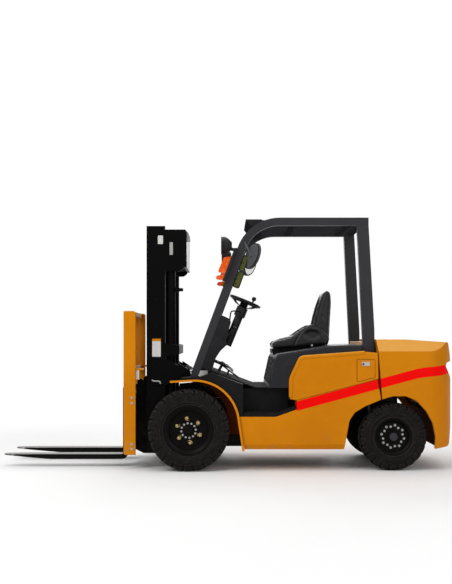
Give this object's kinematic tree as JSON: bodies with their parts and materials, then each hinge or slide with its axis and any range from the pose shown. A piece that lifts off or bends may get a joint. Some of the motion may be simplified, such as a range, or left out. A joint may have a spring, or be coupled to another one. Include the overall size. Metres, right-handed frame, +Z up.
{
  "type": "counterbalance forklift truck",
  "caption": "Counterbalance forklift truck with a tilting telescopic mast, forks and load backrest, a steered rear axle, a seat on the engine hood and an overhead guard.",
  "frame": {"origin": "on the floor, midway between the fork tips and the tail, on the truck's centre plane", "axes": "+X forward along the forks, +Y to the truck's left, +Z up"},
  "size_m": [3.978, 1.2892, 2.206],
  "materials": {
    "body_yellow": "gloss amber-yellow paint",
    "frame_yellow": "gloss amber-yellow paint",
    "black_paint": "semi-gloss black paint",
    "guard_paint": "satin charcoal paint",
    "black_plastic": "moulded black plastic",
    "rubber_mat": "ribbed black rubber",
    "engine_iron": "painted castings",
    "chrome_rod": "hard chrome",
    "chain_steel": "oiled steel",
    "fork_steel": "black paint worn at the tips",
    "tyre": "black rubber",
    "rim_black": "black painted steel",
    "seat_cloth": "black vinyl",
    "lamp_amber": "amber lens",
    "lamp_red": "red lens",
    "mirror": "mirror glass in grey housing"
  },
  "bodies": {
    "chassis": {"frame": "frame_yellow", "side_tanks": "body_yellow", "side_covers": "body_yellow", "fenders": "body_yellow", "cowls": "black_paint", "step_plates": "rubber_mat", "floor_plate": "rubber_mat", "dash": "black_plastic", "steering_column": "black_plastic", "controls": "black_plastic", "counterweight": "body_yellow", "rear_lamps": "lamp_red", "rear_grille": "black_paint", "powertrain": "engine_iron", "radiator": "engine_iron", "radiator_cover": "body_yellow", "guard_side_tubes": "guard_paint", "guard_rear_pillars": "guard_paint", "guard_roof": "guard_paint", "guard_slats": "guard_paint", "lamp_brackets": "black_paint", "head_lamps": "black_plastic", "turn_lamps": "lamp_amber", "mirrors": "mirror", "drive_axle": "black_paint", "steer_axle": "black_paint"},
    "mast": {"outer_mast": "black_paint", "lift_barrels": "black_paint"},
    "inner_mast": {"inner_mast": "black_paint", "lift_rods": "chrome_rod", "chain_sheaves": "chain_steel", "chain_front": "chain_steel", "chain_rear": "chain_steel"},
    "carriage": {"carriage": "black_paint", "load_backrest": "body_yellow"},
    "fork_left": {"fork_left": "fork_steel"},
    "fork_right": {"fork_right": "fork_steel"},
    "tilt_barrels": {"tilt_barrels": "black_paint"},
    "tilt_rods": {"tilt_rods": "chrome_rod"},
    "front_wheel_left": {"front_tyre_left": "tyre", "front_rim_left": "rim_black"},
    "front_wheel_right": {"front_tyre_right": "tyre", "front_rim_right": "rim_black"},
    "knuckle_left": {"knuckle_left": "black_paint"},
    "knuckle_right": {"knuckle_right": "black_paint"},
    "rear_wheel_left": {"rear_tyre_left": "tyre", "rear_rim_left": "rim_black"},
    "rear_wheel_right": {"rear_tyre_right": "tyre", "rear_rim_right": "rim_black"},
    "hood": {"hood": "black_plastic", "seat_base": "black_paint", "seat_cushion": "seat_cloth", "seat_sides": "seat_cloth", "seat_back": "seat_cloth"},
    "fuel_door": {"fuel_door": "body_yellow"},
    "steering_wheel": {"steering_wheel": "black_plastic"}
  },
  "joints": [
    {"name": "front_wheel_left_spin", "type": "hinge", "parent": "chassis", "child": "front_wheel_left", "pos_m": [0.319, 0.5325, 0.353], "axis": [0, 1, 0], "continuous": true},
    {"name": "front_wheel_right_spin", "type": "hinge", "parent": "chassis", "child": "front_wheel_right", "pos_m": [0.319, -0.5325, 0.353], "axis": [0, 1, 0], "continuous": true},
    {"name": "steer_left", "type": "hinge", "parent": "chassis", "child": "knuckle_left", "pos_m": [-1.456, 0.35, 0.294], "axis": [0, 0, 1], "range_deg": [-66, 66]},
    {"name": "steer_right", "type": "hinge", "parent": "chassis", "child": "knuckle_right", "pos_m": [-1.456, -0.35, 0.294], "axis": [0, 0, 1], "range_deg": [-66, 66]},
    {"name": "rear_wheel_left_spin", "type": "hinge", "parent": "knuckle_left", "child": "rear_wheel_left", "pos_m": [-1.456, 0.49, 0.294], "axis": [0, 1, 0], "continuous": true},
    {"name": "rear_wheel_right_spin", "type": "hinge", "parent": "knuckle_right", "child": "rear_wheel_right", "pos_m": [-1.456, -0.49, 0.294], "axis": [0, 1, 0], "continuous": true},
    {"name": "mast_tilt", "type": "hinge", "parent": "chassis", "child": "mast", "pos_m": [0.319, 0, 0.353], "axis": [0, 1, 0], "range_deg": [-12, 6]},
    {"name": "tilt_barrel_swing", "type": "hinge", "parent": "chassis", "child": "tilt_barrels", "pos_m": [-0.281, 0, 0.64], "axis": [0, 1, 0], "range_deg": [-3.3, 1.7]},
    {"name": "tilt_rod_slide", "type": "slide", "parent": "tilt_barrels", "child": "tilt_rods", "axis": [0.9558, 0, 0.2941], "range_m": [-0.0965, 0.0485]},
    {"name": "mast_lift", "type": "slide", "parent": "mast", "child": "inner_mast", "axis": [0, 0, 1], "range_m": [0, 1.5], "deforming": ["chain_rear"]},
    {"name": "carriage_lift", "type": "slide", "parent": "inner_mast", "child": "carriage", "axis": [0, 0, 1], "range_m": [0, 1.5], "deforming": ["chain_front"]},
    {"name": "fork_left_shift", "type": "slide", "parent": "carriage", "child": "fork_left", "axis": [0, 1, 0], "range_m": [-0.14, 0.165]},
    {"name": "fork_right_shift", "type": "slide", "parent": "carriage", "child": "fork_right", "axis": [0, -1, 0], "range_m": [-0.14, 0.165]},
    {"name": "hood_open", "type": "hinge", "parent": "chassis", "child": "hood", "pos_m": [-1.176, 0, 1.075], "axis": [0, -1, 0], "range_deg": [0, 60]},
    {"name": "fuel_door_open", "type": "hinge", "parent": "chassis", "child": "fuel_door", "pos_m": [-1.291, 0.6, 0.886], "axis": [0, 0, 1], "range_deg": [0, 100]},
    {"name": "steering_wheel_turn", "type": "hinge", "parent": "chassis", "child": "steering_wheel", "pos_m": [-0.182, 0, 1.488], "axis": [-0.3811, 0, 0.9245], "continuous": true}
  ],
  "couplings": [
    {"joint": "steer_right", "follows": "steer_left", "ratio": 1},
    {"joint": "tilt_barrel_swing", "follows": "mast_tilt", "ratio": 0.265},
    {"joint": "tilt_rod_slide", "follows": "mast_tilt", "m_per_rad": 0.458},
    {"joint": "carriage_lift", "follows": "mast_lift", "ratio": 1}
  ]
}
